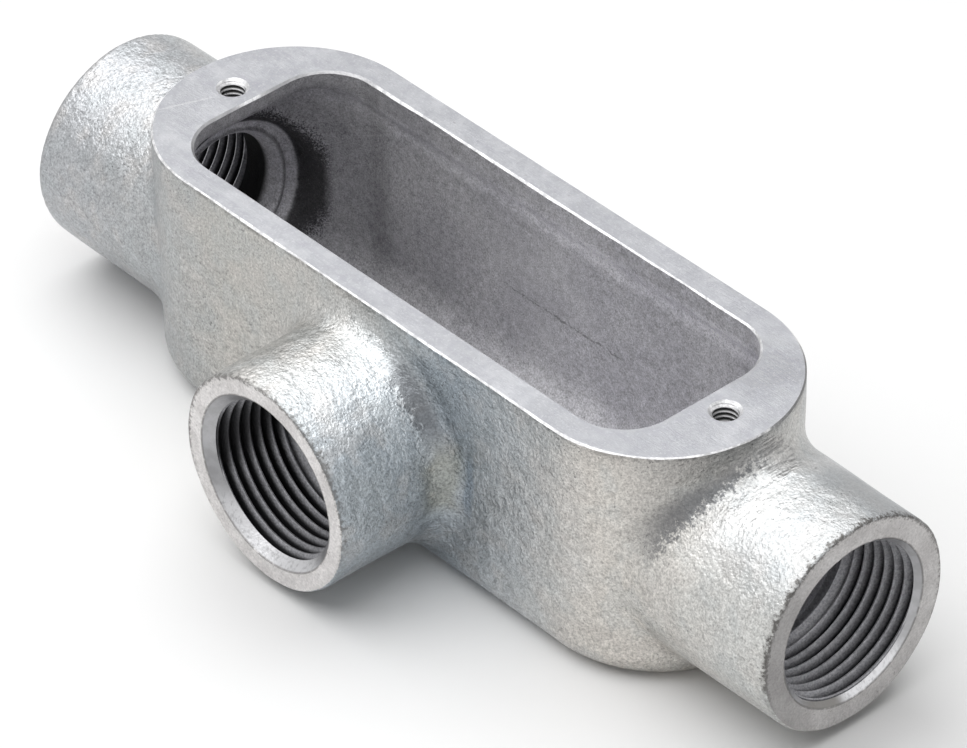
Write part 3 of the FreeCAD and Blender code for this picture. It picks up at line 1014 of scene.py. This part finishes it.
def sort_faces(casting):
    """Give each face its finish from where it lies, with small margins for the uneven skin."""
    mesh = casting.data
    count = len(mesh.polygons)
    centre = np.empty(count * 3, np.float32)
    normal = np.empty(count * 3, np.float32)
    mesh.polygons.foreach_get("center", centre)
    mesh.polygons.foreach_get("normal", normal)
    centre = centre.reshape(-1, 3) / MM
    normal = normal.reshape(-1, 3)
    x, y, z = centre.T
    finish = np.full(count, SKIN, np.int32)
    inner = rounded_outline(x, y, CHAMBER_LENGTH + 1, CHAMBER_WIDTH + 1, CHAMBER_CORNER)
    finish[(inner < 0) & (z > FLOOR_WALL - 1)] = CHAMBER
    for heading, face, wall, chamfer in HUBS:
        along, away = hub_coordinates(x, y, z, heading)
        reach = along > wall - CHAMBER_CORNER
        finish[(away < NOSE + 0.5) & reach & (along < face - THREAD_LENGTH + 1)] = CHAMBER
        finish[(away < PIPE_THREAD["root"] + 0.3) & (along > face - THREAD_LENGTH - NEAR)] = THREAD
        cone = BORE_RADIUS + chamfer - face + along
        finish[(np.abs(away - cone) < NEAR) & (along > face - chamfer)] = HUB_FACE
        finish[(away < HUB_MOUTH + 1) & (along > face - NEAR)] = HUB_FACE
    edge = (z > HEIGHT - 1) & (normal[:, 2] > 0.5)
    finish[edge & (z < HEIGHT - NEAR) & (inner > -2 * CHAMBER_CORNER)] = BRIGHT_CUT
    away = np.hypot(np.abs(x) - SCREW_PLACE, y)
    finish[(away < SCREW_RADIUS + SCREW_CHAMFER) & (z > HEIGHT - FLANGE - 3)] = BRIGHT_CUT
    finish[(z > HEIGHT - NEAR) & (normal[:, 2] > 0.9)] = COVER_FACE
    mesh.polygons.foreach_set("material_index", finish)


def finish_casting(casting):
    """Give the casting its finishes, smooth apart from its machined edges."""
    mesh = casting.data
    mesh.materials.clear()
    for finish in (skin_finish, chamber_finish, cover_face_finish,
                   hub_face_finish, thread_finish, bright_cut_finish):
        mesh.materials.append(finish())
    sort_faces(casting)
    mesh.polygons.foreach_set("use_smooth", np.ones(len(mesh.polygons), bool))
    mesh.set_sharp_from_angle(angle=math.radians(SHARP))


# The set: floor, light and camera.

# How strong the white world is as a light.
WORLD_LIGHT = 0.2

# The floor: half its size, and its height, just below the casting's base.
FLOOR_HALF = 1500
FLOOR_HEIGHT = -0.02

# The camera, as the photograph's edges give it: its direction and roll in degrees, the point that it looks at
# and how far off that is in millimetres, its lens and its shift.
AZIMUTH = 48.969
ELEVATION = 37.48
ROLL = -1.1025
TARGET = (27.5, -24.15, 47.03)
DISTANCE = 914.93
LENS = 260.47
SHIFT = (0.01164, -0.01291)


def white_surroundings():
    """A white world: at full strength where the eye or a reflection meets it, softer as a light."""
    world = bpy.data.worlds.new("world")
    bpy.context.scene.world = world
    world.use_nodes = True
    tree = world.node_tree
    tree.nodes.clear()
    rays = node(tree, "LightPath").outputs
    seen = Signal(rays["Is Camera Ray"]) + Signal(rays["Is Glossy Ray"]) + Signal(rays["Is Transmission Ray"])
    strength = ranged(seen, 0, 1, WORLD_LIGHT, 1)
    background = node(tree, "Background", {"Color": (1, 1, 1), "Strength": strength})
    node(tree, "OutputWorld", {"Surface": Signal(background.outputs[0])})


def lay_floor():
    """A plain floor that is white to the eye, apart from the object's shadow."""
    corners = ((-1, -1), (1, -1), (1, 1), (-1, 1))
    points = [(x * FLOOR_HALF, y * FLOOR_HALF, FLOOR_HEIGHT) for x, y in corners]
    floor = new_piece("floor", points, [[0, 1, 2, 3]])
    material = bpy.data.materials.new("floor")
    material.use_nodes = True
    shader = material.node_tree.nodes["Principled BSDF"]
    fill(shader, {"Base Color": (0.95, 0.95, 0.95), "Roughness": 1, "Specular IOR Level": 0})
    floor.data.materials.append(material)


def hang_light(name, place, target, size, energy):
    """A soft square light aimed at a point; lengths in millimetres."""
    light = bpy.data.lights.new(name, "AREA")
    light.size = size * MM
    light.energy = energy
    holder = bpy.data.objects.new(name, light)
    bpy.context.scene.collection.objects.link(holder)
    holder.location = Vector(place) * MM
    away = holder.location - Vector(target) * MM
    holder.rotation_euler = away.to_track_quat("Z", "Y").to_euler()


def set_camera():
    """Look down at the object from its front right, as the photograph does."""
    azimuth = math.radians(AZIMUTH)
    elevation = math.radians(ELEVATION)
    roll = math.radians(ROLL)
    flat = math.cos(elevation)
    back = Vector((math.sin(azimuth) * flat, -math.cos(azimuth) * flat, math.sin(elevation)))
    level = Vector((math.cos(azimuth), math.sin(azimuth), 0))
    up = back.cross(level)
    right = level * math.cos(roll) + up * math.sin(roll)
    top = up * math.cos(roll) - level * math.sin(roll)
    data = bpy.data.cameras.new("camera")
    data.sensor_width = 36
    data.lens = LENS
    data.shift_x, data.shift_y = SHIFT
    data.clip_start = 0.05
    camera = bpy.data.objects.new("camera", data)
    bpy.context.scene.collection.objects.link(camera)
    turn = Matrix((right, top, back)).transposed().to_4x4()
    place = Vector(TARGET) * MM + back * (DISTANCE * MM)
    camera.matrix_world = Matrix.Translation(place) @ turn
    bpy.context.scene.camera = camera


casting = make_casting()
finish_casting(casting)
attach(casting, "root")
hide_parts("conduit_body")

white_surroundings()
lay_floor()
hang_light("key_light", place=(-200, -70, 890), target=(0, 0, 20), size=1450, energy=13.5)
set_camera()
bpy.context.scene.view_settings.view_transform = "Standard"
